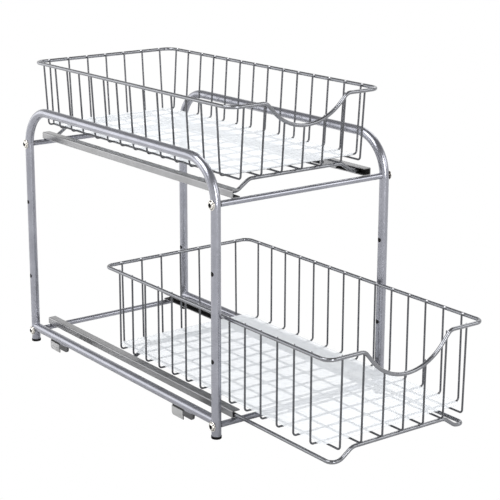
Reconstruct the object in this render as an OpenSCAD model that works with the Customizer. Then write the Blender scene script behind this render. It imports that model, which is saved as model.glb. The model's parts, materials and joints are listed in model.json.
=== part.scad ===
// Two-tier pull-out wire basket for a kitchen base cabinet.
// +X is to the right, -Y is the front, +Z is up. The frame stands on z = 0, and the
// lower basket is drawn pulled out, so the origin is the middle of the whole footprint.

/* [Frame] */
// Width over the legs
frame_w = 286.7; // [260:0.1:360]
// Depth over the legs
frame_d = 482.7; // [440:0.1:600]
// Height over the top of the side frames
frame_h = 364.4; // [340:0.1:480]
// Outer diameter of the frame tube
tube_d = 12.7; // [10:0.1:16]
// Wall of the frame tube
tube_wall = 1.2; // [1:0.1:1.6]
// Centre-line radius of the top bends
top_bend_r = 55; // [40:1:80]
// Height of the lower side rail's axis
side_rail_z = 22.8; // [22:0.1:30]

/* [Cross rails and bolts] */
// Diameter of the cross rails
rail_d = 8; // [8:0.5:10]
// Height of the lower cross rails' axes
lower_rail_z = 17; // [17:0.5:22]
// Height of the upper cross rails' axes
upper_rail_z = 305.5; // [250:0.5:305.5]
// Thread diameter of the frame bolts
bolt_d = 5; // [4:0.5:5]
// How far a bolt screws into its rail
bolt_grip = 12; // [8:1:20]
// Diameter of the bolt head's flange
bolt_head_d = 10.5; // [9:0.5:12]
// Height of the bolt head
bolt_head_h = 3; // [2.5:0.1:4]
// Width across the flats of the bolt's hex socket
bolt_socket_w = 3; // [2.5:0.5:3]
// Depth of the bolt's hex socket
bolt_socket_depth = 1.7; // [1:0.1:2]
// Clearance round a bolt in the leg, on the radius
bolt_clearance = 0.25; // [0.1:0.05:0.4]
// Clearance round a bolt's thread in the rail, on the radius
thread_clearance = 0.05; // [0.02:0.01:0.1]

/* [Leg holes] */
// Diameter of the spare holes through the legs
leg_hole_d = 6.2; // [5:0.1:7]
// Height of the lower spare hole
leg_hole_low_z = 103.5; // [60:0.5:150]
// Height of the upper spare hole
leg_hole_high_z = 218; // [160:0.5:240]

/* [Feet] */
// How far a foot cap stands out round its leg
foot_rim = 0.5; // [0:0.1:2]
// Visible height of a foot cap
foot_h = 3.5; // [2:0.5:5]
// Length of a foot's plug in the tube
foot_plug_h = 9; // [6:0.5:10]
// Clearance of the plug in the tube, on the radius
foot_clearance = 0.05; // [0.02:0.01:0.2]
// Radius of the foot cap's bottom edge
foot_edge_r = 0.8; // [0.4:0.1:1.5]

/* [Channels] */
// Gap between a leg and the web of the channel beside it
channel_inset = 18.15; // [12:0.05:30]
// Distance from the front rails' front faces back to the channels' front ends
channel_setback = 3.5; // [0:0.5:4]
// Width of a channel's flanges
channel_w = 12; // [11:0.5:14]
// Sheet thickness of a channel
channel_t = 1; // [0.8:0.1:1.2]
// Outer bend radius of a channel
channel_bend_r = 1.6; // [1.2:0.1:2]
// Thickness of the plastic glide strip in a channel
glide_t = 0.6; // [0.5:0.1:0.7]
// Length of the stop plate that closes a channel's opening
stop_len = 33.5; // [20:0.5:60]
// Distance from the upper runner frame's front bar, pushed in, back to the stop plates
stop_lead = 39.5; // [20:0.5:80]
// Diameter of the hole in the stop plate
stop_hole_d = 4; // [3:0.5:5]
// Distance from the stop plate's rear end to its hole
stop_hole_inset = 6.5; // [4:0.5:10]

/* [Floor clips] */
// Length of a clip's weld tab
clip_tab_len = 24; // [16:0.5:30]
// Height of the weld tab's lower edge
clip_tab_z = 7; // [5:0.5:9]
// Thickness of the weld tab
clip_tab_t = 3.4; // [2:0.2:5]
// Length of a clip's hanging plate
clip_plate_len = 26.5; // [20:0.5:40]
// Height of the hanging plate's lower edge
clip_plate_z = 0.5; // [0:0.1:2]
// Thickness of the hanging plate
clip_plate_t = 1.6; // [1:0.1:2.5]
// Corner radius of the hanging plate
clip_corner_r = 4; // [1:0.5:5]
// Height of the rubber pad between clip and rail
pad_h = 3; // [2:0.1:4]
// Length of the rubber pad
pad_len = 25; // [15:0.5:40]
// Thickness of the rubber pad
pad_t = 4; // [2:0.5:8]
// Distance from the front leg's axis to the front clip
clip_front_gap = 50; // [20:1:90]
// Distance from the rear leg's axis to the rear clip
clip_rear_gap = 45.5; // [20:0.5:90]

/* [Basket wires] */
// Diameter of the rim and runner wires
rim_wire_d = 5; // [4:0.1:6]
// Diameter of the grid wires
wire_d = 2.6; // [2:0.1:3]
// Distance from the front rim to the first wire that runs from side to side
first_cross_gap = 34; // [26:0.5:40]
// Bend radius of the grid wires
wire_bend_r = 4.5; // [3:0.5:6]
// How far the grid wires reach above the rim's axis
wire_over = 1; // [0:0.1:2]
// Depth over the rim wire's axes
rim_depth = 484; // [460:1:600]
// Radius where the rim bends into a scoop
scoop_bend_r = 12; // [8:0.5:16]

/* [Upper basket] */
// Gap between the rim and the legs
upper_side_gap = 7.95; // [3:0.05:20]
// How far each side wall leans out
upper_side_flare = 5.4; // [0:0.1:12]
// How far each end wall leans out
upper_end_flare = 6.7; // [0:0.1:12]
// Height from the long wires' floor to the rim
upper_wall = 93; // [70:0.5:120]
// Corner radius of the rim
upper_corner_r = 16; // [10:1:40]
// Spacing of the wires that run from side to side
upper_cross_pitch = 33; // [28:0.1:33]
// Spacing of the wires that run from front to back
upper_long_pitch = 32.3; // [28:0.1:33]
// Width of the scoop at the rim
upper_scoop_w = 140; // [120:1:150]
// Slope of the scoop's sides
upper_scoop_slope = 46; // [30:1:60]
// Length of the straight part of the scoop's sides
upper_scoop_run = 11.3; // [0:0.1:30]
// Gap between the floor's side wires and the liner
upper_liner_gap = 8; // [6:0.1:20]
// Distance from the front rim to the runner frame's front bar
upper_runner_inset = 22; // [8:0.5:30]

/* [Lower basket] */
// Gap between the rim and the legs
lower_side_gap = 3.65; // [3:0.05:20]
// How far each side wall leans out
lower_side_flare = 0; // [0:0.1:12]
// How far each end wall leans out
lower_end_flare = 1.8; // [0:0.1:12]
// Height from the long wires' floor to the rim
lower_wall = 116.8; // [80:0.5:140]
// Corner radius of the rim
lower_corner_r = 12; // [10:1:30]
// Spacing of the wires that run from side to side
lower_cross_pitch = 32.2; // [28:0.1:33]
// Spacing of the wires that run from front to back
lower_long_pitch = 33.1; // [28:0.1:34]
// Width of the scoop at the rim
lower_scoop_w = 148; // [120:1:156]
// Slope of the scoop's sides
lower_scoop_slope = 50; // [30:1:60]
// Length of the straight part of the scoop's sides
lower_scoop_run = 13.9; // [0:0.1:30]
// Gap between the floor's side wires and the liner
lower_liner_gap = 7.7; // [6:0.1:20]
// Distance from the front rim to the runner frame's front bar
lower_runner_inset = 11.5; // [8:0.5:30]
// How far the lower basket is drawn pulled out
lower_out = 194; // [0:1:350]

/* [Runner frames and liners] */
// How much shorter a runner frame is than its rim
runner_short = 36; // [30:1:80]
// Side play of a runner in its glide strip
runner_play = 0.5; // [0.3:0.1:1]
// Running gap between a runner and the glide strip under it
runner_gap = 0.3; // [0.2:0.05:0.5]
// Gap between a runner and the glide strip above it
runner_head_gap = 1.5; // [1.2:0.1:3]
// Height of the raised bars above the runners
runner_rise = 13.1; // [11:0.1:16]
// Slope of the ramps between the runners and the raised bars
runner_slope = 35; // [33:1:50]
// Length of a runner frame's level part between its corner and its ramp
runner_flat = 1.3; // [1:0.05:20]
// Radius of the runner frame's corners
runner_corner_r = 8; // [6:0.5:8.5]
// Radius of the bends of the ramps
ramp_bend_r = 16; // [6:0.5:18]
// Thickness of a liner
liner_t = 1; // [0.6:0.1:2]
// Gap from the front wires' bends to the liner
liner_front_gap = 15; // [6:0.5:30]
// Gap from the rear wires' bends to the liner
liner_rear_gap = 6; // [6:0.5:30]
// Corner radius of a liner
liner_corner_r = 8; // [2:0.5:20]

/* [Hidden] */
$fn = 40;

// Signs of the sides: left and right along X, front and rear along Y.
LEFT = -1;
RIGHT = 1;
FRONT = -1;
REAR = 1;

// Colours, as powder coat, bare metal and plastics
TUBE_GREY = [0.70, 0.70, 0.74];
WIRE_GREY = [0.56, 0.56, 0.59];
STEEL = [0.78, 0.76, 0.72];
BLACK = [0.06, 0.06, 0.06];
FROST = [0.93, 0.95, 0.96, 0.6];

// Derived places of the frame
leg_x = (frame_w - tube_d) / 2;
leg_y = (frame_d - tube_d) / 2;
tube_bore = tube_d - 2 * tube_wall;
leg_gap = frame_w - 2 * tube_d;
foot_d = tube_d + 2 * foot_rim;
top_rail_z = frame_h - tube_d / 2;
side_rail_bottom = side_rail_z - tube_d / 2;
cut = 1;

// Seams of a bent wire: how far its straights lap into its bends, and how much thicker those are.
// The side frames' square bends meet their straights exactly, and need none.
WIRE_SEAM = [0.1, 0.02];
NO_SEAM = [0, 0];

// Derived places of the channels, measured up from a cross rail's axis
channel_z = rail_d / 2;
channel_h = 2 * (channel_t + glide_t) + rim_wire_d + runner_gap + runner_head_gap;
channel_rear_y = leg_y + rail_d / 2;
channel_len = 2 * channel_rear_y - channel_setback;
channel_span = leg_gap - 2 * channel_inset;
channel_lip_x = channel_span / 2 - channel_w;
stop_y = upper_runner_inset - rim_depth / 2 + stop_lead;
runner_x = channel_span / 2 - channel_t - glide_t - runner_play - rim_wire_d / 2;
runner_z = channel_z + channel_t + glide_t + runner_gap + rim_wire_d / 2;
raised_bar_z = runner_z + runner_rise;
long_wire_z = raised_bar_z + (rim_wire_d + wire_d) / 2;
cross_wire_z = long_wire_z + wire_d;
liner_z = cross_wire_z + wire_d / 2;
weld_offset = (rim_wire_d + wire_d) / 2;
runner_len = rim_depth - runner_short;

// Each basket's own sizes, read through the functions below
UPPER = [upper_rail_z, 0, upper_side_gap, upper_side_flare, upper_end_flare, upper_wall, upper_corner_r,
         upper_scoop_w, upper_scoop_slope, upper_scoop_run, upper_liner_gap, upper_runner_inset,
         upper_cross_pitch, upper_long_pitch];
LOWER = [lower_rail_z, lower_out, lower_side_gap, lower_side_flare, lower_end_flare, lower_wall, lower_corner_r,
         lower_scoop_w, lower_scoop_slope, lower_scoop_run, lower_liner_gap, lower_runner_inset,
         lower_cross_pitch, lower_long_pitch];
function rail_z(b) = b[0];
function pulled_out(b) = b[1];
function side_gap(b) = b[2];
function side_flare(b) = b[3];
function end_flare(b) = b[4];
function wall(b) = b[5];
function corner_r(b) = b[6];
function scoop_w(b) = b[7];
function scoop_slope(b) = b[8];
function scoop_run(b) = b[9];
function liner_gap(b) = b[10];
function runner_inset(b) = b[11];
function cross_pitch(b) = b[12];
function long_pitch(b) = b[13];

// The rim fits between the legs, and the floor lies inside the rim by the wall's weld and lean.
// rim_w, base_w and base_d are measured between wire axes.
function rim_w(b) = leg_gap - 2 * side_gap(b) - rim_wire_d;
function base_w(b) = rim_w(b) - 2 * (weld_offset + side_flare(b));
function base_d(b) = rim_depth - 2 * (weld_offset + end_flare(b));
function rim_z(b) = rail_z(b) + long_wire_z + wall(b);

// As many wires as fit along the straight sides of the rim, between its corners
function cross_count(b) = 1 + floor((rim_depth - first_cross_gap - corner_r(b) - wire_d) / cross_pitch(b));
function long_count(b) = 1 + 2 * floor((rim_w(b) / 2 - corner_r(b) - wire_d) / long_pitch(b));

// Lean of the end walls and of the side walls, outward from the vertical
function end_lean(b) = atan(end_flare(b) / wall(b));
function side_lean(b) = atan(side_flare(b) / (wall(b) - wire_d));

// The scoop's centre arc is tangent to both slopes, which the rim meets at scoop_bend_r.
// arc_sum is the sum of the centre arc's radius and the outer bends' radius.
function arc_sum(b) = (scoop_w(b) / 2 - scoop_run(b) * cos(scoop_slope(b))) / sin(scoop_slope(b));
function scoop_arc_r(b) = arc_sum(b) - scoop_bend_r;
function scoop_depth(b) = arc_sum(b) * (1 - cos(scoop_slope(b))) + scoop_run(b) * sin(scoop_slope(b));

// How far the scooped rim lies below the plain rim, at a distance x from the middle
function scoop_drop(b, x) =
    x >= scoop_w(b) / 2 ? 0
    : x > scoop_w(b) / 2 - scoop_bend_r * sin(scoop_slope(b))
        ? scoop_bend_r - sqrt(pow(scoop_bend_r, 2) - pow(scoop_w(b) / 2 - x, 2))
    : x > scoop_arc_r(b) * sin(scoop_slope(b))
        ? scoop_depth(b) - scoop_arc_r(b) * (1 - cos(scoop_slope(b)))
          - (x - scoop_arc_r(b) * sin(scoop_slope(b))) * tan(scoop_slope(b))
    : scoop_depth(b) - scoop_arc_r(b) + sqrt(pow(scoop_arc_r(b), 2) - pow(x, 2));

// Length that a bend takes from each of the two straights that it joins
function bend_take(r, turn) = r * tan(turn / 2);

// ---- Bent wire and tube ----

// A round wire along +X from the origin
module straight(d, run) {
    rotate([0, 90, 0]) cylinder(d = d, h = run);
}

// A round wire from the origin that heads along +X and turns in the XY plane, to the left if
// turn is positive
module bend(d, r, turn) {
    mirror([0, turn < 0 ? 1 : 0, 0])
        translate([0, r, 0])
            rotate([0, 0, -90])
                rotate_extrude(angle = abs(turn))
                    translate([r, 0]) circle(d = d);
}

// Where such a bend ends
function bend_end(r, turn) = [r * sin(abs(turn)), sign(turn) * r * (1 - cos(turn)), 0];

// A wire bent in its own XY plane, from the origin along +X.
// Each step is [straight run, turn after it, radius of that turn]. A seam is how far the straights
// lap into the bends, and how much thicker the bends are there, so that the pieces join cleanly.
// A closed wire's loose ends lap too, into the bends of the next wire.
module bent_wire(d, steps, closed = false, seam = WIRE_SEAM, i = 0) {
    run = steps[i][0];
    turn = steps[i][1];
    r = steps[i][2];
    start_lap = closed || i > 0 ? seam[0] : 0;
    end_lap = closed || turn != 0 ? seam[0] : 0;
    if (run > 0) translate([-start_lap, 0, 0]) straight(d, run + start_lap + end_lap);
    if (turn != 0) {
        translate([run, 0, 0]) {
            bend(d + seam[1], r, turn);
            if (i + 1 < len(steps))
                translate(bend_end(r, turn)) rotate([0, 0, turn]) bent_wire(d, steps, closed, seam, i + 1);
        }
    }
}

// Places the fixed frame, which stands behind the middle of the footprint
module in_frame() {
    translate([0, lower_out / 2, 0]) children();
}

// Places a basket on its runners
module in_basket(b) {
    translate([0, lower_out / 2 - pulled_out(b), 0]) children();
}

// ---- Side frames ----

// The bent tube's two legs, two bends and top rail, as a solid rod of one diameter
module leg_loop(d, foot_z) {
    straight_top = 2 * leg_y - 2 * top_bend_r;
    straight_leg = top_rail_z - top_bend_r - foot_z;
    translate([0, -leg_y, foot_z])
        rotate([90, 0, 90]) rotate([0, 0, 90])
            bent_wire(d, [
                [straight_leg, -90, top_bend_r],
                [straight_top, -90, top_bend_r],
                [straight_leg, 0, 0]
            ], seam = NO_SEAM);
}

module side_frame(side) {
    color(TUBE_GREY) in_frame() translate([side * leg_x, 0, 0]) difference() {
        union() {
            leg_loop(tube_d, foot_h);
            translate([0, -leg_y, side_rail_z]) rotate([-90, 0, 0]) cylinder(d = tube_d, h = 2 * leg_y);
        }
        leg_loop(tube_bore, foot_h - cut);
        side_rail_bore();
        for (end = [FRONT, REAR]) translate([0, end * leg_y, 0]) {
            for (z = [leg_hole_low_z, leg_hole_high_z]) leg_hole(leg_hole_d, z);
            for (z = [lower_rail_z, upper_rail_z]) leg_hole(bolt_d + 2 * bolt_clearance, z);
        }
    }
}

// The lower side rail is welded to the legs' faces, so its bore ends there
module side_rail_bore() {
    bore_len = 2 * leg_y - tube_d;
    translate([0, -bore_len / 2, side_rail_z]) rotate([-90, 0, 0]) cylinder(d = tube_bore, h = bore_len);
}

// A hole right through a leg, from side to side
module leg_hole(d, z) {
    translate([-tube_d / 2 - cut, 0, z]) straight(d, tube_d + 2 * cut);
}

// ---- Cross rails and their bolts ----

module cross_rail(end, z) {
    color(TUBE_GREY) in_frame() translate([-leg_gap / 2, end * leg_y, z]) difference() {
        straight(rail_d, leg_gap);
        for (side = [0, 1]) translate([side * leg_gap, 0, 0]) mirror([side, 0, 0])
            translate([-cut, 0, 0]) straight(bolt_d + 2 * thread_clearance, bolt_grip + 2 * cut);
    }
}

// A flanged button-head bolt along +X, with the underside of its head at the origin
module button_bolt(shank) {
    flange_h = bolt_head_h / 3;
    dome_r = bolt_head_d * 0.4;
    straight(bolt_d, shank);
    rotate([0, -90, 0]) difference() {
        rotate_extrude() polygon(concat(
            [[0, 0], [bolt_head_d / 2, 0], [bolt_head_d / 2, flange_h]],
            [for (a = [0:15:75]) [dome_r * cos(a), flange_h + (bolt_head_h - flange_h) * sin(a)]],
            [[0, bolt_head_h]]
        ));
        translate([0, 0, bolt_head_h - bolt_socket_depth])
            cylinder(d = bolt_socket_w / cos(30), h = bolt_socket_depth + cut, $fn = 6);
    }
}

module frame_bolts() {
    color(STEEL) in_frame()
        for (side = [0, 1], end = [FRONT, REAR], z = [lower_rail_z, upper_rail_z])
            mirror([side, 0, 0]) translate([-frame_w / 2, end * leg_y, z]) button_bolt(tube_d + bolt_grip);
}

// ---- Feet ----

module foot(side, end) {
    plug_d = tube_bore - 2 * foot_clearance;
    color(BLACK) in_frame() translate([side * leg_x, end * leg_y, 0]) {
        rotate_extrude() polygon(concat(
            [[0, 0]],
            [for (a = [-90:15:0]) [foot_d / 2 - foot_edge_r + foot_edge_r * cos(a), foot_edge_r + foot_edge_r * sin(a)]],
            [[foot_d / 2, foot_h], [0, foot_h]]
        ));
        cylinder(d = plug_d, h = foot_h + foot_plug_h);
    }
}

// ---- Channels, glide strips and stops ----

// A rectangle with its lower left corner at inset and its left corners rounded
module left_round_rect(w, h, r, inset) {
    translate([inset, inset]) polygon(concat(
        [for (a = [180:15:270]) [r + r * cos(a), r + r * sin(a)]],
        [[w, 0], [w, h]],
        [for (a = [90:15:180]) [r + r * cos(a), h - r + r * sin(a)]]
    ));
}

// An open C section of sheet: its web is on the left and its mouth on the right
module c_section(w, h, t, r, inset = 0) {
    difference() {
        left_round_rect(w, h, r, inset);
        left_round_rect(w, h - 2 * t, r - t, inset + t);
    }
}

// Runs a section along a channel; the section is drawn for the left channel
module along_channel(side, z) {
    mirror([side == RIGHT ? 1 : 0, 0, 0])
        translate([-channel_span / 2, channel_rear_y, z + channel_z])
            rotate([90, 0, 0]) linear_extrude(channel_len) children();
}

module channel(side, z) {
    color(WIRE_GREY) in_frame() along_channel(side, z)
        c_section(channel_w, channel_h, channel_t, channel_bend_r);
}

module glide(side, z) {
    inner_h = channel_h - 2 * channel_t;
    inner_r = channel_bend_r - channel_t;
    color(BLACK) in_frame() along_channel(side, z) intersection() {
        translate([channel_t, 0]) square([channel_w - channel_t, channel_h]);
        difference() {
            left_round_rect(channel_w, inner_h, inner_r, channel_t);
            translate([channel_t + glide_t, channel_t + glide_t])
                square([channel_w, inner_h - 2 * glide_t]);
        }
    }
}

// A plate on the lips of a channel, which keeps the rear ramp of the runner frame in
module stop_plate(side, z) {
    color(WIRE_GREY) in_frame() mirror([side == RIGHT ? 1 : 0, 0, 0])
        translate([-channel_lip_x, stop_y, z + channel_z]) difference() {
            cube([channel_t, stop_len, channel_h]);
            translate([-cut, stop_len - stop_hole_inset, channel_h / 2]) straight(stop_hole_d, channel_t + 2 * cut);
        }
}

// ---- Floor clips ----

// The clip's outline in the YZ plane: a weld tab ahead of a plate that hangs to the floor.
// The tab's top meets the rail, and the plate stays a pad's height below it.
module plate_outline() {
    plate_h = side_rail_bottom - pad_h - clip_plate_z;
    corner_y = clip_plate_len - clip_corner_r;
    translate([clip_tab_len, clip_plate_z]) polygon(concat(
        [[0, 0]],
        [for (a = [-90:15:0]) [corner_y + clip_corner_r * cos(a), clip_corner_r + clip_corner_r * sin(a)]],
        [[clip_plate_len, plate_h], [0, plate_h]]
    ));
}

module clip_side_view(t) {
    translate([-t / 2, 0, 0]) rotate([90, 0, 90]) linear_extrude(t) children();
}

function clip_y(end) = end == FRONT ? -leg_y + clip_front_gap : leg_y - clip_rear_gap - clip_plate_len - clip_tab_len;

// The rail is round, so what seats on it reaches up to its axis and is cut by it
module under_side_rail(side, end) {
    in_frame() translate([side * leg_x, clip_y(end), 0]) difference() {
        children();
        translate([0, -cut, side_rail_z]) rotate([-90, 0, 0])
            cylinder(d = tube_d, h = clip_tab_len + clip_plate_len + 2 * cut);
    }
}

module clip(side, end) {
    pad_start = clip_tab_len + clip_plate_len - pad_len - clip_corner_r;
    color(STEEL) under_side_rail(side, end) {
        clip_side_view(clip_plate_t) plate_outline();
        clip_side_view(clip_tab_t) difference() {
            translate([0, clip_tab_z]) square([clip_tab_len, side_rail_bottom + cut - clip_tab_z]);
            translate([pad_start, side_rail_bottom - pad_h]) square([pad_len, pad_h + 2 * cut]);
        }
    }
}

module clip_pad(side, end) {
    pad_start = clip_tab_len + clip_plate_len - pad_len - clip_corner_r;
    color(BLACK) under_side_rail(side, end)
        clip_side_view(pad_t) translate([pad_start, side_rail_bottom - pad_h]) square([pad_len, pad_h + cut]);
}

// ---- Baskets ----

// The rim is one wire, level all round but for the scoop, which lies in the leaning front wall
module rim(b) {
    scoop_end = scoop_w(b) / 2;
    r = corner_r(b);
    flat = rim_w(b) / 2 - r - scoop_end;
    color(WIRE_GREY) in_basket(b) translate([-scoop_end, -rim_depth / 2, rim_z(b)]) {
        rotate([0, 0, 180]) bent_wire(rim_wire_d, [
            [flat, -90, r],
            [rim_depth - 2 * r, -90, r],
            [rim_w(b) - 2 * r, -90, r],
            [rim_depth - 2 * r, -90, r],
            [flat, 0, 0]
        ], closed = true);
        rotate([90 + end_lean(b), 0, 0]) bent_wire(rim_wire_d, [
            [0, -scoop_slope(b), scoop_bend_r],
            [scoop_run(b), 2 * scoop_slope(b), scoop_arc_r(b)],
            [scoop_run(b), -scoop_slope(b), scoop_bend_r]
        ]);
    }
}

// A wire bent to a U in the XZ plane. near and far are the lengths of its two walls, measured
// along the wire's lean from the sharp corner of its axis.
module u_wire(base, lean, near, far) {
    turn = 90 - lean;
    take = bend_take(wire_bend_r, turn);
    translate([-base / 2 - near * sin(lean), 0, near * cos(lean)])
        rotate([90, 0, 0]) rotate([0, 0, lean - 90])
            bent_wire(wire_d, [
                [near - take, turn, wire_bend_r],
                [base - 2 * take, turn, wire_bend_r],
                [far - take, 0, 0]
            ]);
}

module cross_wires(b) {
    wall_len = (wall(b) - wire_d) / cos(side_lean(b)) + wire_over;
    color(WIRE_GREY) in_basket(b)
        for (i = [0:cross_count(b) - 1])
            translate([0, i * cross_pitch(b) + first_cross_gap - rim_depth / 2, rail_z(b) + cross_wire_z])
                u_wire(base_w(b), side_lean(b), wall_len, wall_len);
}

// The front ends of the long wires stop at the scooped rim, the rear ends at the plain rim
module long_wires(b) {
    wall_len = wall(b) / cos(end_lean(b)) + wire_over;
    color(WIRE_GREY) in_basket(b)
        for (i = [0:long_count(b) - 1]) {
            x = (i - (long_count(b) - 1) / 2) * long_pitch(b);
            translate([x, 0, rail_z(b) + long_wire_z]) rotate([0, 0, 90])
                u_wire(base_d(b), end_lean(b), wall_len - scoop_drop(b, abs(x)), wall_len);
        }
}

// The runner frame is one closed wire. Its sides run in the channels, and its ends leave
// through the channels' mouths and climb to the bars that carry the basket.
module runner_frame(b) {
    front_y = runner_inset(b) - rim_depth / 2;
    corner_x = runner_x - runner_corner_r;
    take = bend_take(ramp_bend_r, runner_slope);
    ramp = runner_rise / sin(runner_slope) - 2 * take;
    bar_len = 2 * (corner_x - runner_flat - runner_rise / tan(runner_slope) - take);
    side_run = runner_len - 2 * runner_corner_r;
    color(WIRE_GREY) in_basket(b) translate([0, 0, rail_z(b) + runner_z]) {
        for (side = [0, 1]) mirror([side, 0, 0])
            translate([-corner_x, front_y, 0]) rotate([0, 0, 180])
                bent_wire(rim_wire_d, [[0, -90, runner_corner_r], [side_run, -90, runner_corner_r]]);
        for (y = [front_y, front_y + runner_len])
            translate([-corner_x, y, 0]) rotate([90, 0, 0])
                bent_wire(rim_wire_d, [
                    [runner_flat, runner_slope, ramp_bend_r],
                    [ramp, -runner_slope, ramp_bend_r],
                    [bar_len - 2 * take, -runner_slope, ramp_bend_r],
                    [ramp, runner_slope, ramp_bend_r],
                    [runner_flat, 0, 0]
                ], closed = true);
    }
}

module liner(b) {
    front_y = -base_d(b) / 2 + liner_front_gap;
    rear_y = base_d(b) / 2 - liner_rear_gap;
    r = liner_corner_r;
    w = base_w(b) - 2 * liner_gap(b);
    len = rear_y - front_y;
    color(FROST) in_basket(b) translate([-w / 2, front_y, rail_z(b) + liner_z]) {
        translate([r, 0, 0]) cube([w - 2 * r, len, liner_t]);
        translate([0, r, 0]) cube([w, len - 2 * r, liner_t]);
        for (x = [r, w - r], y = [r, len - r]) translate([x, y, 0]) cylinder(r = r, h = liner_t);
    }
}

side_frame(LEFT);  // left_side_frame
side_frame(RIGHT);  // right_side_frame
cross_rail(FRONT, lower_rail_z);  // lower_front_rail
cross_rail(REAR, lower_rail_z);  // lower_rear_rail
cross_rail(FRONT, upper_rail_z);  // upper_front_rail
cross_rail(REAR, upper_rail_z);  // upper_rear_rail
frame_bolts();
foot(LEFT, FRONT);  // front_left_foot
foot(RIGHT, FRONT);  // front_right_foot
foot(LEFT, REAR);  // rear_left_foot
foot(RIGHT, REAR);  // rear_right_foot
channel(LEFT, lower_rail_z);  // lower_left_channel
channel(RIGHT, lower_rail_z);  // lower_right_channel
channel(LEFT, upper_rail_z);  // upper_left_channel
channel(RIGHT, upper_rail_z);  // upper_right_channel
glide(LEFT, lower_rail_z);  // lower_left_glide
glide(RIGHT, lower_rail_z);  // lower_right_glide
glide(LEFT, upper_rail_z);  // upper_left_glide
glide(RIGHT, upper_rail_z);  // upper_right_glide
stop_plate(LEFT, lower_rail_z);  // lower_left_stop
stop_plate(RIGHT, lower_rail_z);  // lower_right_stop
stop_plate(LEFT, upper_rail_z);  // upper_left_stop
stop_plate(RIGHT, upper_rail_z);  // upper_right_stop
clip(LEFT, FRONT);  // front_left_clip
clip(RIGHT, FRONT);  // front_right_clip
clip(LEFT, REAR);  // rear_left_clip
clip(RIGHT, REAR);  // rear_right_clip
clip_pad(LEFT, FRONT);  // front_left_pad
clip_pad(RIGHT, FRONT);  // front_right_pad
clip_pad(LEFT, REAR);  // rear_left_pad
clip_pad(RIGHT, REAR);  // rear_right_pad
rim(UPPER);  // upper_rim
cross_wires(UPPER);  // upper_cross_wires
long_wires(UPPER);  // upper_long_wires
runner_frame(UPPER);  // upper_runner_frame
liner(UPPER);  // upper_liner
rim(LOWER);  // lower_rim
cross_wires(LOWER);  // lower_cross_wires
long_wires(LOWER);  // lower_long_wires
runner_frame(LOWER);  // lower_runner_frame
liner(LOWER);  // lower_liner
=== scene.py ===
import bpy, bmesh, json, math
from mathutils import Matrix, Vector


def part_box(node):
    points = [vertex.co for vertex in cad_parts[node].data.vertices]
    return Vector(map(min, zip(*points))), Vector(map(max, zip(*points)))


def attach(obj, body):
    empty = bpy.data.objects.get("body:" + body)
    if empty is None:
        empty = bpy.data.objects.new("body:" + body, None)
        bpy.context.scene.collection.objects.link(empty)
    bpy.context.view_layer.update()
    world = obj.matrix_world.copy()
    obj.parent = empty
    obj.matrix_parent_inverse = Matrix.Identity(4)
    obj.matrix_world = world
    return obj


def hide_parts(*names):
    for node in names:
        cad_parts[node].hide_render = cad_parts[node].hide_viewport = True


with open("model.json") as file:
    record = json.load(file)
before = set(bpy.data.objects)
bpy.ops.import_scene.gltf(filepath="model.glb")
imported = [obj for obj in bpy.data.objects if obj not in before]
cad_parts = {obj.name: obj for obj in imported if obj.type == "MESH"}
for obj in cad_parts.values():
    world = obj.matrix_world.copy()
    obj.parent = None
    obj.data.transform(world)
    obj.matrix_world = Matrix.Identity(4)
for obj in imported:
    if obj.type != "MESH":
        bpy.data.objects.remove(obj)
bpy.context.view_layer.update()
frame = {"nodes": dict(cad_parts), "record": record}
nodes = frame["nodes"]
print("frame loaded:", len(nodes), "nodes")


# Camera, solved from the straight edges of the photograph

photoCamera = {
    "place": (-1.1571, -1.5592, 0.7343),
    "yaw": -0.5991,          # to the right of straight ahead, in radians
    "pitch": -0.2549,        # below the horizon
    "roll": -0.0089,
    "sensor": 36,
    "lens": 106.3,           # both in millimetres
    "shift": (0.1354, -0.0474),
    "clip": (0.05, 40),
}


def addCamera(c):
    data = bpy.data.cameras.new("photoCamera")
    data.sensor_width = c["sensor"]
    data.lens = c["lens"]
    data.shift_x, data.shift_y = c["shift"]
    data.clip_start, data.clip_end = c["clip"]
    yaw, pitch = c["yaw"], c["pitch"]
    ahead = Vector((-math.sin(yaw) * math.cos(pitch), math.cos(yaw) * math.cos(pitch),
                    math.sin(pitch)))
    right = Vector((math.cos(yaw), math.sin(yaw), 0))
    up = right.cross(ahead)
    turned = Matrix((right, up, -ahead)).transposed().to_4x4()
    rolled = Matrix.Rotation(c["roll"], 4, "Z")
    cam = bpy.data.objects.new("photoCamera", data)
    cam.matrix_world = Matrix.Translation(c["place"]) @ turned @ rolled
    bpy.context.scene.collection.objects.link(cam)
    bpy.context.scene.camera = cam


addCamera(photoCamera)
print("camera placed")


# Materials. Each kind has three noise patterns of scale, detail and roughness: one mixes the two
# colours between its stops, one moves the roughness so far down and up, and one makes the bumps

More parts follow.
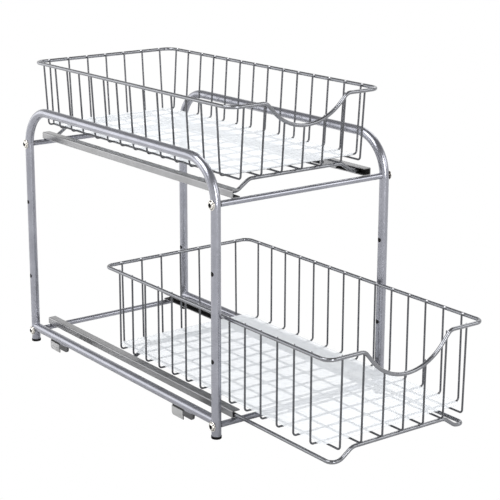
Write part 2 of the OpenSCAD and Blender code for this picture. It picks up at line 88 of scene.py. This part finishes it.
kinds = {
    "powder": {"colour": (30, 5, 0.65), "stops": (0.34, 0.66),
               "rough": (260, 3, 0.55), "vary": (0.05, 0.05),
               "bump": (480, 2, 0.55), "depth": 0.0003,
               "always": {"Coat_Weight": 0.25, "Coat_Roughness": 0.15}},
    "metal": {"colour": (420, 4, 0.55), "stops": (0.30, 0.70),
              "rough": (900, 3, 0.55), "vary": (0.04, 0.08),
              "bump": (2600, 2, 0.55), "strength": 0.05, "depth": 0.0002,
              "always": {"Metallic": 1.0}},
    "moulded": {"colour": (140, 3, 0.55), "stops": (0.35, 0.65),
                "rough": (800, 2, 0.55), "vary": (0.06, 0.06),
                "bump": (1500, 2, 0.55), "strength": 0.18, "depth": 0.0003,
                "always": {"Specular_IOR_Level": 0.5}},
    "frosted": {"colour": (24, 3, 0.55), "stops": (0.3, 0.7),
                "rough": (500, 2, 0.55), "vary": (0.05, 0.05),
                "bump": (1800, 2, 0.55), "strength": 0.10, "depth": 0.0003,
                "always": {"Alpha": 0.47, "IOR": 1.4}},
}


class Wiring:                # a new material and a short way to wire its nodes
    def __init__(self, name):
        self.mat = bpy.data.materials.new(name)
        self.mat.use_nodes = True
        self.tree = self.mat.node_tree
        self.shader = self.tree.nodes["Principled BSDF"]
        self.place = self.add("ShaderNodeTexCoord").outputs["Object"]

    def add(self, kind, **values):
        made = self.tree.nodes.new(kind)
        for key, value in values.items():
            made.inputs[key].default_value = value
        return made

    def link(self, a, b):
        self.tree.links.new(a, b)

    def feed(self, output, socket):
        self.link(output, self.shader.inputs[socket])

    def setValues(self, values):
        for key, value in values.items():
            self.shader.inputs[key.replace("_", " ")].default_value = value

    def noise(self, scale, detail, rough):
        made = self.add("ShaderNodeTexNoise", Scale=scale, Detail=detail, Roughness=rough)
        self.link(self.place, made.inputs["Vector"])
        return made.outputs["Fac"]

    def ramp(self, factor, stops, colours):
        made = self.add("ShaderNodeValToRGB")
        for element, at, colour in zip(made.color_ramp.elements, stops, colours):
            element.position = at
            element.color = (*colour, 1)
        self.link(factor, made.inputs["Fac"])
        return made.outputs["Color"]

    def spread(self, factor, low, high):
        made = self.add("ShaderNodeMapRange")
        made.inputs["To Min"].default_value = low
        made.inputs["To Max"].default_value = high
        self.link(factor, made.inputs["Value"])
        return made.outputs["Result"]

    def bumps(self, height, strength, distance):
        made = self.add("ShaderNodeBump", Strength=strength, Distance=distance)
        self.link(height, made.inputs["Height"])
        return made.outputs["Normal"]


def surface(name, kind, dark, light, rough, strength=None, grain=None, **values):
    look = kinds[kind]
    down, up = look["vary"]
    scale, detail, mix = look["bump"]
    m = Wiring(name)
    m.feed(m.ramp(m.noise(*look["colour"]), look["stops"], (dark, light)), "Base Color")
    m.feed(m.spread(m.noise(*look["rough"]), rough - down, rough + up), "Roughness")
    height = m.noise(grain or scale, detail, mix)
    m.feed(m.bumps(height, strength or look["strength"], look["depth"]), "Normal")
    m.setValues({**look["always"], **values})
    return m.mat


materials = {
    "frame_coat": surface("frameCoat", "powder", (0.275, 0.28, 0.315), (0.33, 0.335, 0.375),
                          rough=0.25, strength=0.06, Metallic=0.88),
    # rims, runners and weld spots: the baskets' one coat, painted lighter than the wires as
    # painted sheen
    "basket_coat": surface("basketCoatPaintedSheen", "powder", (0.19, 0.194, 0.209), (0.235, 0.24, 0.257),
                           rough=0.25, strength=0.025, Metallic=0.90),
    "channel_coat": surface("channelCoat", "powder", (0.285, 0.285, 0.29), (0.34, 0.34, 0.348),
                            rough=0.30, strength=0.07, Metallic=0.80),
    "bolt_metal": surface("boltNickel", "metal", (0.70, 0.67, 0.61), (0.84, 0.81, 0.76),
                          rough=0.16),
    "foot_plastic": surface("footPlastic", "moulded", (0.003, 0.003, 0.003),
                            (0.007, 0.007, 0.007), rough=0.40, Specular_IOR_Level=0.05),
    "glide_plastic": surface("glidePlastic", "moulded", (0.006, 0.006, 0.007),
                             (0.012, 0.012, 0.013), rough=0.6),
    "clip_metal": surface("clipCoat", "powder", (0.42, 0.42, 0.42), (0.50, 0.50, 0.50),
                          rough=0.40, strength=0.12, Metallic=0.6),
    # the pad that fills the strip between the rail and a clip's plate, near black
    "pad_rubber": surface("clipPadNearBlack", "moulded", (0.010, 0.010, 0.010), (0.022, 0.022, 0.022),
                          rough=0.75, grain=900),
    "liner_plastic": surface("linerPlastic", "frosted", (0.92, 0.95, 0.985),
                             (0.94, 0.965, 0.99), rough=0.39),
}
# near black for the bolts' socket and groove: painted shade
boltPaintedShade = surface("boltRecessPaintedShade", "moulded", (0.004, 0.004, 0.004),
                      (0.010, 0.010, 0.010), rough=0.45, grain=1200)
boreShade = surface("boreShade", "moulded", (0.006, 0.006, 0.006), (0.014, 0.014, 0.014),
                    rough=0.85, grain=700, Specular_IOR_Level=0.15)
# the thin wires: the same basket coat painted darker, as painted shade
wirePaintedShadeCoat = surface("wirePaintedShadeCoat", "powder", (0.085, 0.087, 0.095), (0.112, 0.115, 0.125),
                   rough=0.25, strength=0.025, Metallic=0.90)
# the clip's weld tab: the clip's sheet painted darker, as painted shade
clipTabPaintedShadeCoat = surface("clipTabPaintedShade", "powder", (0.070, 0.070, 0.072), (0.095, 0.095, 0.098),
                  rough=0.30, strength=0.05, Metallic=0.75)
rimTickPaintedHighlight = surface("rimTickHighlightPaint", "metal", (0.74, 0.74, 0.77), (0.90, 0.90, 0.93),
                    rough=0.34, Metallic=0.35)


def coatNodes():
    slots = {s["node"]: s["material_slot"] for s in frame["record"]["subparts"]}
    for name, obj in nodes.items():
        obj.data.materials.clear()
        obj.data.materials.append(wirePaintedShadeCoat if name.endswith("_wires") else materials[slots[name]])


coatNodes()
print("materials set")


# The two baskets, as the frame holds them. These sizes and all below are in millimetres, up to
# the studio's

mm = 0.001
frameMiddle = 97
baskets = {
    "upper": {"middle": 97, "railZ": 305.5, "wall": 93, "rimWidth": 240.4, "rimDepth": 484,
              "endFlare": 6.7, "crossPitch": 33, "longPitch": 32.3, "runnerFront": 220,
              "scoopWidth": 140, "scoopSlope": 46, "scoopRun": 11.3},
    "lower": {"middle": -97, "railZ": 17, "wall": 116.8, "rimWidth": 249, "rimDepth": 484,
              "endFlare": 1.8, "crossPitch": 32.2, "longPitch": 33.1, "runnerFront": 230.5,
              "scoopWidth": 148, "scoopSlope": 50, "scoopRun": 13.9},
}
grid = {"crossCount": 14, "longCount": 7, "firstCross": 34, "longWireZ": 25.3, "wire": 2.6,
        "rimWire": 5, "scoopBend": 12, "runnerLength": 448, "raisedBar": 149.7, "wireOver": 1.0}


def crossPlaces(b):
    first = b["middle"] - b["rimDepth"] / 2 + grid["firstCross"]
    return [first + i * b["crossPitch"] for i in range(grid["crossCount"])]


def longPlaces(b):
    return [(i - (grid["longCount"] - 1) / 2) * b["longPitch"] for i in range(grid["longCount"])]


def rimHeight(b):
    return b["railZ"] + grid["longWireZ"] + b["wall"]


def scoopDrop(b, x):         # how far the scooped rim lies below the plain rim, x off its middle
    slope = math.radians(b["scoopSlope"])
    half, bend, run = b["scoopWidth"] / 2, grid["scoopBend"], b["scoopRun"]
    both = (half - run * math.cos(slope)) / math.sin(slope)
    arc = both - bend
    depth = both * (1 - math.cos(slope)) + run * math.sin(slope)
    if x >= half:
        return 0
    if x > half - bend * math.sin(slope):
        return bend - math.sqrt(bend ** 2 - (half - x) ** 2)
    if x > arc * math.sin(slope):
        return depth - arc * (1 - math.cos(slope)) - (x - arc * math.sin(slope)) * math.tan(slope)
    return depth - arc + math.sqrt(arc ** 2 - x ** 2)


def newPiece(name, bm, slot, body, extra=()):
    mesh = bpy.data.meshes.new(name)
    bm.to_mesh(mesh)
    bm.free()
    obj = bpy.data.objects.new(name, mesh)
    bpy.context.scene.collection.objects.link(obj)
    mesh.materials.append(materials[slot])
    for mat in extra:
        mesh.materials.append(mat)
    mesh.shade_smooth()
    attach(obj, body)
    return obj


def ringEdges(ring):         # the edges between a ring's own points
    return [e for e in {e for v in ring for e in v.link_edges}
            if e.verts[0] in ring and e.verts[1] in ring]


def newParts(made, kind):    # what an extrusion has made of this kind
    return [part for part in made["geom"] if isinstance(part, kind)]


# Weld spots and cut wire ends of the baskets, and a painted highlight on the rim over each wire.
# A blob's size is its half width, depth and height, and rim, end and tick are given for a wire
# that meets a side rim

weldLook = {
    "detail": 2,
    "floor": (1.55, 1.55, 0.8),              # where two floor wires cross
    "bar": (1.6, 1.9, 0.9),                  # where a long wire lies on a raised bar
    "barEnd": 4,                             # a wire nearer than this to the bar's end has none
    "rim": (0.8, 1.5, 1.9),                  # where a wire meets the rim
    "end": (1.28, 1.28, 0.6),                # the wire's cut end
    # the tick is a painted highlight: a weld-shaped bump in a paint far lighter than the coat
    "tick": (1.5, 2.0, 1.05),                # the bright mark on the rim
    "tickHeight": 1.42,
    "tickInset": 1.35,
}


def addBlob(bm, place, size, paintedHighlight=False):
    blob = bmesh.ops.create_icosphere(bm, subdivisions=weldLook["detail"], radius=1.0)["verts"]
    for face in {f for v in blob for f in v.link_faces}:
        face.material_index = int(paintedHighlight)
    bmesh.ops.scale(bm, vec=Vector(size) * mm, verts=blob)
    bmesh.ops.translate(bm, vec=Vector(place) * mm, verts=blob)


def addRimBlobs(bm, place, out, look):       # out is the way from the basket, along x or y
    def turned(size):
        return size if out.x else (size[1], size[0], size[2])

    tickOut = grid["rimWire"] / 2 - look["tickInset"]
    up = Vector((0, 0, 1))
    addBlob(bm, place, turned(look["rim"]))
    addBlob(bm, place - out * grid["wire"] / 2 + up * grid["wireOver"], look["end"])
    # the tick, in its lighter paint as a painted highlight
    addBlob(bm, place + out * tickOut + up * look["tickHeight"], turned(look["tick"]), paintedHighlight=True)


def addBasketWelds(tier, look):
    b = baskets[tier]
    bm = bmesh.new()
    floorZ = b["railZ"] + grid["longWireZ"] + grid["wire"] / 2
    rimZ = rimHeight(b)
    lean = math.atan2(b["endFlare"], b["wall"])
    long = longPlaces(b)
    for y in crossPlaces(b):
        for x in long:
            addBlob(bm, (x, y, floorZ), look["floor"])
        for side in (-1, 1):
            inner = side * (b["rimWidth"] / 2 - grid["rimWire"] / 2)
            addRimBlobs(bm, Vector((inner, y, rimZ)), Vector((side, 0, 0)), look)
    for x in long:
        for end in (-1, 1):
            drop = scoopDrop(b, abs(x)) if end < 0 else 0
            inner = end * (b["rimDepth"] / 2 - drop * math.sin(lean) - grid["rimWire"] / 2)
            place = Vector((x, b["middle"] + inner, rimZ - drop * math.cos(lean)))
            addRimBlobs(bm, place, Vector((0, end, 0)), look)
        if abs(x) < grid["raisedBar"] / 2 - look["barEnd"]:
            for y in (-b["runnerFront"], grid["runnerLength"] - b["runnerFront"]):
                addBlob(bm, (x, b["middle"] + y, floorZ - grid["wire"]), look["bar"])
    newPiece(tier + "_weld_spots_and_painted_highlights", bm, "basket_coat", tier + "_basket", [rimTickPaintedHighlight])


for tier in baskets:
    addBasketWelds(tier, weldLook)
print("basket welds made")


# Weld beads of the frame

frameLook = {"legX": 137, "legY": 235, "tube": 12.7, "sideRailZ": 22.8}
ringBead = {"radius": 1.0, "sides": 8, "steps": 72, "ripples": 22, "swell": 0.12}
lineBead = {"around": 16, "rings": 10, "blunt": 6, "pole": 0.05, "ripples": 14, "swell": 0.10}
channelBead = {"from": 101.5, "to": 111.5, "beside": 2.9, "rise": 3.1, "radius": 0.95}
clipBead = {"starts": (-183.5, 140.5), "length": 19.5, "beside": 2.0, "rise": 0.1, "radius": 0.9}


def addRingBead(bm, side, end, f, look):     # where the side rail meets a leg
    tube = f["tube"] / 2
    circle = bmesh.ops.create_circle(bm, segments=look["sides"],
                                     radius=look["radius"] * mm)["verts"]
    bmesh.ops.translate(bm, verts=circle, vec=(tube * mm, 0, 0))
    before = set(bm.verts) - set(circle)
    bmesh.ops.spin(bm, geom=circle + ringEdges(circle), cent=(0, 0, 0), axis=(0, 1, 0),
                   angle=2 * math.pi, steps=look["steps"], use_merge=True)
    made = [v for v in bm.verts if v not in before]
    for v in made:                           # the ring follows the leg's round face
        around = math.atan2(v.co.z, v.co.x)
        swell = 1 + look["swell"] * math.sin(look["ripples"] * around)
        across = min(abs(v.co.x / mm), tube)
        v.co.y = v.co.y * swell + mm * math.sqrt(tube ** 2 - across ** 2)
    place = Vector((side * f["legX"], frameMiddle + end * f["legY"], f["sideRailZ"])) * mm
    facing = Matrix.Scale(-end, 4, (0, 1, 0))
    bmesh.ops.transform(bm, verts=made, matrix=Matrix.Translation(place) @ facing)


def addLineBead(bm, start, stop, radius, look):
    a, b = Vector(start), Vector(stop)
    bead = bmesh.ops.create_uvsphere(bm, u_segments=look["around"], v_segments=look["rings"],
                                     radius=1.0)["verts"]
    reach = (b - a).length / 2
    turn = Vector((0, 0, 1)).rotation_difference(b - a).to_matrix().to_4x4()
    for v in bead:                           # a long bead keeps its thickness and has ripples
        along = v.co.z
        blunt = max(1 - abs(along) ** look["blunt"], 0) ** 0.5
        ball = max((1 - along * along) ** 0.5, look["pole"])
        wave = 1 + look["swell"] * math.sin(along * look["ripples"])
        v.co.x *= radius * blunt / ball * wave * mm
        v.co.y *= radius * blunt / ball * wave * mm
        v.co.z *= reach * mm
    bmesh.ops.transform(bm, matrix=Matrix.Translation((a + b) / 2 * mm) @ turn, verts=bead)


def addChannelBeads(bm, side, end, f, look):      # under a channel, beside its cross rail
    for tier in ("lower", "upper"):
        z = baskets[tier]["railZ"] + look["rise"]
        for face in (-1, 1):
            if face == end == -1:            # the channel stops on the front rail
                continue
            y = frameMiddle + end * f["legY"] + face * look["beside"]
            addLineBead(bm, (side * look["from"], y, z), (side * look["to"], y, z),
                        look["radius"], lineBead)


def addClipBeads(bm, side, f, look):              # on both sides of a clip's weld tab
    z = f["sideRailZ"] - f["tube"] / 2 + look["rise"]
    for start in look["starts"]:
        y = frameMiddle + start
        for face in (-1, 1):
            x = side * f["legX"] + face * look["beside"]
            addLineBead(bm, (x, y, z), (x, y + look["length"], z), look["radius"], lineBead)


def addFrameWelds(f):
    bm = bmesh.new()
    for side in (-1, 1):
        for end in (-1, 1):
            addRingBead(bm, side, end, f, ringBead)
            addChannelBeads(bm, side, end, f, channelBead)
        addClipBeads(bm, side, f, clipBead)
    bmesh.ops.recalc_face_normals(bm, faces=bm.faces)
    newPiece("frame_weld_beads", bm, "frame_coat", "frame")


addFrameWelds(frameLook)
print("frame welds made")


# A near-black sleeve inside the legs, which shows through their spare holes: the bare steel inside
# is darker, and the rest of its black is painted shade

boreLook = {"radius": 5.1, "segments": 40, "heights": (103.5, 218), "reach": 7, "thick": 0.3}


def addBoreShades(look, f):
    bm = bmesh.new()
    for side in (-1, 1):
        for end in (-1, 1):
            for z in look["heights"]:
                ring = bmesh.ops.create_circle(bm, segments=look["segments"],
                                               radius=look["radius"] * mm)["verts"]
                low = (side * f["legX"], frameMiddle + end * f["legY"], z - look["reach"])
                bmesh.ops.translate(bm, verts=ring, vec=Vector(low) * mm)
                made = bmesh.ops.extrude_edge_only(bm, edges=ringEdges(ring))
                bmesh.ops.translate(bm, verts=newParts(made, bmesh.types.BMVert),
                                    vec=(0, 0, 2 * look["reach"] * mm))
    bmesh.ops.recalc_face_normals(bm, faces=bm.faces)
    obj = newPiece("leg_bore_painted_shade", bm, "frame_coat", "frame")
    obj.data.materials[0] = boreShade
    wall = obj.modifiers.new("thick", "SOLIDIFY")
    wall.thickness = look["thick"] * mm
    wall.offset = -1.0


addBoreShades(boreLook, frameLook)
print("bore linings made")


# Bolts: flanged button heads with a hex socket. Heights count from the leg's outer side.
# The socket and the groove between dome and flange carry painted shade

sharpAngle = math.radians(32)
boltLook = {
    "segments": 48, "heights": (17, 305.5),
    "shank": 2.5, "length": 24.7, "tip": 0.8, "tipInset": 0.5,
    "flange": 6.5, "flangeHigh": 0.9, "flangeEdge": 0.3,
    "groove": 0.7, "grooveOut": 0.75, "grooveIn": 0.1,
    "dome": 4.8, "domeFoot": 0.25, "domeAngles": (12, 24, 36, 46), "high": 2.85,
    "mouth": 3.0, "mouthEdge": 0.12, "across": 4.8, "socketDeep": 1.8,
}


def hexRadius(angle, across):
    step = (angle + math.pi / 6) % (math.pi / 3) - math.pi / 6
    return across / 2 / math.cos(step)


# the dark faces are painted shade: the hex socket and the groove between dome and flange
def boltRings(b):            # each ring's radius and height, and whether the face up to it is dark
    top = b["flangeHigh"]
    foot = top + b["domeFoot"]
    dome = [(b["dome"] * math.cos(a), foot + (b["high"] - foot) * math.sin(a), False)
            for a in map(math.radians, b["domeAngles"])]
    return [(b["shank"], b["tip"] - b["length"], False),
            (b["shank"], 0, False),
            (b["flange"], 0, False),
            (b["flange"], top - b["flangeEdge"], False),
            (b["flange"] - b["flangeEdge"], top, False),
            (b["dome"] + b["grooveOut"], top, False),
            (b["dome"] + b["grooveIn"], top - b["groove"], True),
            (b["dome"], foot, True),
            *dome,
            (b["mouth"], b["high"], False),
            ("hex", b["high"] - b["mouthEdge"], True),
            ("hex", b["high"] - b["socketDeep"], True)]


def addBolt(bm, place, side, b):
    ring = bmesh.ops.create_circle(bm, segments=b["segments"],
                                   radius=(b["shank"] - b["tipInset"]) * mm)["verts"]
    for v in ring:
        v.co.z = -b["length"] * mm
    whole = list(ring)
    bmesh.ops.edgeloop_fill(bm, edges=ringEdges(ring))
    paintedShadeFaces = []
    for radius, height, dark in boltRings(b):
        made = bmesh.ops.extrude_edge_only(bm, edges=ringEdges(ring))
        if dark:
            paintedShadeFaces += newParts(made, bmesh.types.BMFace)
        ring = newParts(made, bmesh.types.BMVert)
        for v in ring:
            angle = math.atan2(v.co.y, v.co.x)
            r = hexRadius(angle, b["across"]) if radius == "hex" else radius
            v.co = Vector((math.cos(angle) * r, math.sin(angle) * r, height)) * mm
        whole += ring
    paintedShadeFaces += bmesh.ops.edgeloop_fill(bm, edges=ringEdges(ring))["faces"]
    for face in paintedShadeFaces:
        face.material_index = 1
    turn = Matrix.Rotation(math.pi / 2 * side, 4, "Y")
    bmesh.ops.transform(bm, matrix=Matrix.Translation(Vector(place) * mm) @ turn, verts=whole)


def addBolts(look, f):
    bm = bmesh.new()
    outer = f["legX"] + f["tube"] / 2
    for side in (-1, 1):
        for end in (-1, 1):
            for z in look["heights"]:
                addBolt(bm, (side * outer, frameMiddle + end * f["legY"], z), side, look)
    bmesh.ops.recalc_face_normals(bm, faces=bm.faces)
    obj = newPiece("bolt_set", bm, "bolt_metal", "frame", [boltPaintedShade])
    obj.data.set_sharp_from_angle(angle=sharpAngle)
    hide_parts("frame_bolts")


addBolts(boltLook, frameLook)
print("bolts made")


# Clips: a light hanging plate beside a weld tab with a rounded nose, the tab in a darker paint as
# painted shade on the same sheet

clipLook = {"nodes": ("front_left_clip", "front_right_clip", "rear_left_clip", "rear_right_clip"),
            "tab": 24, "tabLow": 7, "near": 0.1, "nose": 5, "noseSegments": 8, "edge": 0.3}
edgeLook = {"segments": 2, "sharper": math.radians(50)}
samePoint = 1e-6             # in metres
sameFace = math.radians(1)


def softEdges(obj, width):
    soft = obj.modifiers.new("edge", "BEVEL")
    soft.width = width * mm
    soft.segments = edgeLook["segments"]
    soft.limit_method = "ANGLE"
    soft.angle_limit = edgeLook["sharper"]


def addClip(name, look):
    bm = bmesh.new()
    bm.from_mesh(nodes[name].data)
    bmesh.ops.remove_doubles(bm, verts=bm.verts, dist=samePoint)
    bmesh.ops.dissolve_limit(bm, angle_limit=sameFace, verts=bm.verts, edges=bm.edges)
    near = look["near"] * mm
    front = min(v.co.y for v in bm.verts)
    nose = [e for e in bm.edges
            if all(abs(v.co.y - front) < near and abs(v.co.z - look["tabLow"] * mm) < near
                   for v in e.verts)]
    bmesh.ops.bevel(bm, geom=nose, offset=look["nose"] * mm, offset_type="OFFSET",
                    segments=look["noseSegments"], profile=0.5, affect="EDGES", material=-1)
    for face in bm.faces:
        # the tab's faces get the darker paint: painted shade
        if face.calc_center_median().y < front + look["tab"] * mm + near:
            face.material_index = 1
    obj = newPiece(name + "_bracket", bm, "clip_metal", "frame", [clipTabPaintedShadeCoat])
    obj.data.set_sharp_from_angle(angle=sharpAngle)
    softEdges(obj, look["edge"])
    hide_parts(name)


for name in clipLook["nodes"]:
    addClip(name, clipLook)
print("clips made")


# Liners: thin frosted sheets that dip a little between the wires

linerLook = {"thick": 1.0, "dip": 0.22, "corner": 8.0, "cornerSegments": 8, "edge": 0.25,
             "alongCuts": 4, "acrossCuts": 2}     # how many cuts for each wire


def cutSheet(bm, place, across):
    bmesh.ops.bisect_plane(bm, geom=bm.verts[:] + bm.edges[:] + bm.faces[:], dist=samePoint,
                           plane_co=place, plane_no=across)


def addLiner(tier, look):
    b = baskets[tier]
    low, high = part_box(tier + "_liner")
    bm = bmesh.new()
    sheet = bmesh.ops.create_grid(bm, x_segments=1, y_segments=1, size=0.5)["verts"]
    middle = ((low[0] + high[0]) / 2, (low[1] + high[1]) / 2, low[2])
    bmesh.ops.scale(bm, vec=(high[0] - low[0], high[1] - low[1], 1), verts=sheet)
    bmesh.ops.translate(bm, vec=middle, verts=sheet)
    bmesh.ops.bevel(bm, geom=list(bm.verts), offset=look["corner"] * mm, offset_type="OFFSET",
                    segments=look["cornerSegments"], profile=0.5, affect="VERTICES", material=-1)
    cross = crossPlaces(b)
    for y in cross:
        for k in range(look["alongCuts"]):
            cutSheet(bm, (0, (y + k * b["crossPitch"] / look["alongCuts"]) * mm, 0), (0, 1, 0))
    for x in longPlaces(b):
        for k in range(look["acrossCuts"]):
            cutSheet(bm, ((x + k * b["longPitch"] / look["acrossCuts"]) * mm, 0, 0), (1, 0, 0))
    for v in bm.verts:                       # each bay between two cross wires sags by a hair
        if cross[0] < v.co.y / mm < cross[-1]:
            bay = ((v.co.y / mm - cross[0]) / b["crossPitch"]) % 1
            v.co.z -= look["dip"] * mm * math.sin(math.pi * bay) ** 2
    obj = newPiece(tier + "_liner_sheet", bm, "liner_plastic", tier + "_basket")
    wall = obj.modifiers.new("thick", "SOLIDIFY")
    wall.thickness = look["thick"] * mm
    wall.offset = 1.0
    softEdges(obj, look["edge"])
    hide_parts(tier + "_liner")


for tier in baskets:
    addLiner(tier, linerLook)
print("liners made")


# Floor, backdrop and light, in metres. Lamps with shine show in the metal, and lamps without
# matt light nothing else

studio = {
    "floorSize": 12.0,
    "floorColour": (0.68, 0.68, 0.68),
    "floorRough": 0.9,
    "roomLight": 1.12,        # what lights the matt surfaces from all round
    "sky": [(0.0, 0.95), (0.34, 0.85), (0.52, 0.32), (1.0, 0.20)],    # what the metal mirrors
    "aim": (0, 0, 0.2),       # where the lamps point
    "lamps": {
        "front": {"place": (-0.35, -2.7, 0.95), "size": (0.55, 1.9), "power": 39,
                  "shine": True, "matt": False},
        "right": {"place": (1.55, -1.9, 1.3), "size": (1.3, 1.1), "power": 13,
                  "shine": True, "matt": False},
        "left": {"place": (-1.6, 2.1, 0.65), "size": (2.6, 1.3), "power": 15,
                 "shine": True, "matt": True},
        "fill": {"place": (-2.2, -1.6, 0.9), "size": (1.8, 1.0), "power": 20,
                 "shine": False, "matt": True},
        "top": {"place": (0.1, 0.9, 2.4), "size": (1.6, 1.6), "power": 19,
                "shine": False, "matt": True},
        "rear": {"place": (2.3, 1.1, 2.1), "size": (1.3, 1.3), "power": 14,
                 "shine": True, "matt": True},
        "high": {"place": (-1.6, 0.3, 2.4), "size": (2.0, 1.8), "power": 62,
                 "shine": True, "matt": False},
    },
}


def forRays(tree, usual, special, rays):     # special for these kinds of ray, usual for the rest
    path = tree.nodes.new("ShaderNodeLightPath")
    chosen = path.outputs[rays[0]]
    for ray in rays[1:]:
        either = tree.nodes.new("ShaderNodeMath")
        either.operation = "MAXIMUM"
        tree.links.new(chosen, either.inputs[0])
        tree.links.new(path.outputs[ray], either.inputs[1])
        chosen = either.outputs[0]
    mix = tree.nodes.new("ShaderNodeMixShader")
    tree.links.new(chosen, mix.inputs[0])
    tree.links.new(usual, mix.inputs[1])
    tree.links.new(special, mix.inputs[2])
    return mix.outputs[0]


def skyColour(tree, stops):                  # grey, by how far up a ray looks
    way = tree.nodes.new("ShaderNodeTexCoord")
    parts = tree.nodes.new("ShaderNodeSeparateXYZ")
    sky = tree.nodes.new("ShaderNodeValToRGB")
    while len(sky.color_ramp.elements) < len(stops):
        sky.color_ramp.elements.new(0.5)
    for element, (at, bright) in zip(sky.color_ramp.elements, stops):
        element.position = at
        element.color = (bright, bright, bright, 1)
    tree.links.new(way.outputs["Generated"], parts.inputs[0])
    tree.links.new(parts.outputs["Z"], sky.inputs["Fac"])
    return sky.outputs["Color"]


def addWorld(s):
    world = bpy.data.worlds.new("studioWorld")
    bpy.context.scene.world = world
    world.use_nodes = True
    tree = world.node_tree
    room = tree.nodes["Background"]
    room.inputs["Color"].default_value = (1, 1, 1, 1)
    room.inputs["Strength"].default_value = s["roomLight"]
    shine = tree.nodes.new("ShaderNodeBackground")
    tree.links.new(skyColour(tree, s["sky"]), shine.inputs["Color"])
    white = tree.nodes.new("ShaderNodeBackground")
    white.inputs["Color"].default_value = (1, 1, 1, 1)
    lit = forRays(tree, room.outputs[0], shine.outputs[0], ["Is Glossy Ray"])
    seen = forRays(tree, lit, white.outputs[0], ["Is Camera Ray", "Is Transmission Ray"])
    tree.links.new(seen, tree.nodes["World Output"].inputs["Surface"])


def addFloor(s):
    bm = bmesh.new()
    bmesh.ops.create_grid(bm, x_segments=1, y_segments=1, size=s["floorSize"] / 2)
    mesh = bpy.data.meshes.new("studioFloor")
    bm.to_mesh(mesh)
    bm.free()
    floor = bpy.data.objects.new("studioFloor", mesh)
    bpy.context.scene.collection.objects.link(floor)
    mat = bpy.data.materials.new("floorPaint")
    mat.use_nodes = True
    tree = mat.node_tree
    paint = tree.nodes["Principled BSDF"]
    paint.inputs["Base Color"].default_value = (*s["floorColour"], 1)
    paint.inputs["Roughness"].default_value = s["floorRough"]
    white = tree.nodes.new("ShaderNodeEmission")
    white.inputs["Color"].default_value = (1, 1, 1, 1)
    seen = forRays(tree, paint.outputs[0], white.outputs[0],
                   ["Is Camera Ray", "Is Transmission Ray"])
    tree.links.new(seen, tree.nodes["Material Output"].inputs["Surface"])
    mesh.materials.append(mat)


def addLamp(name, look, aim):
    lamp = bpy.data.lights.new(name + "Lamp", "AREA")
    lamp.shape = "RECTANGLE"
    lamp.size, lamp.size_y = look["size"]
    lamp.energy = look["power"]
    obj = bpy.data.objects.new(name + "Lamp", lamp)
    obj.location = look["place"]
    obj.rotation_euler = (Vector(aim) - obj.location).to_track_quat("-Z", "Y").to_euler()
    obj.visible_glossy = look["shine"]
    obj.visible_diffuse = look["matt"]
    bpy.context.scene.collection.objects.link(obj)


addWorld(studio)
addFloor(studio)
for name, look in studio["lamps"].items():
    addLamp(name, look, studio["aim"])
bpy.context.scene.view_settings.view_transform = "Standard"
print("studio lit")
